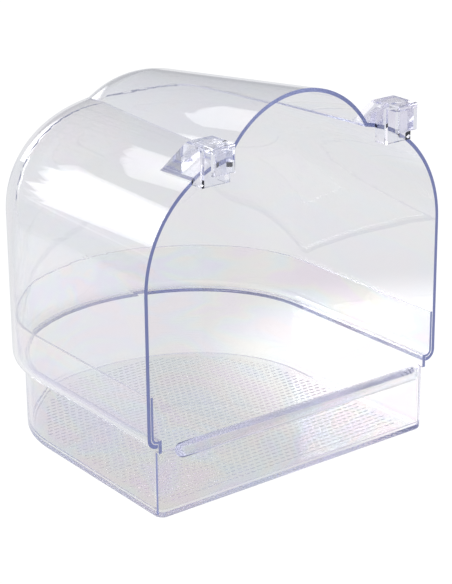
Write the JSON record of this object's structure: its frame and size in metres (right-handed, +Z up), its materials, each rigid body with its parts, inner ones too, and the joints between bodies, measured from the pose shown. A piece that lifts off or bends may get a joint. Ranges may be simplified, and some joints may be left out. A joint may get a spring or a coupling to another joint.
{
  "type": "hang-on bird bath",
  "caption": "Clear plastic bird bath that hangs on a cage opening: a lobed hood with two hook clips over a D-shaped water tub with a round perch rail.",
  "frame": {"origin": "middle of the footprint at the underside of the tub", "axes": "+X across the opening to the right as seen from the open front, -Y the open front, +Z up"},
  "size_m": [0.1426, 0.1525, 0.154],
  "materials": {
    "hood_clear_plastic": "clear moulded polystyrene, polished, faint violet in the cut edges",
    "tub_clear_plastic": "clear moulded polystyrene, polished, ribbed floor",
    "rail_clear_plastic": "clear round bar, polished",
    "clip_clear_plastic": "clear moulded clip, polished"
  },
  "bodies": {
    "hood": {"hood_shell": "hood_clear_plastic", "hook_clip_left": "clip_clear_plastic", "hook_clip_right": "clip_clear_plastic"},
    "tub": {"bath_tub": "tub_clear_plastic", "perch_rail": "rail_clear_plastic"}
  },
  "joints": [
    {"name": "tub_slide", "type": "slide", "parent": "hood", "child": "tub", "axis": [0, -1, 0], "range_m": [0, 0.145]}
  ]
}
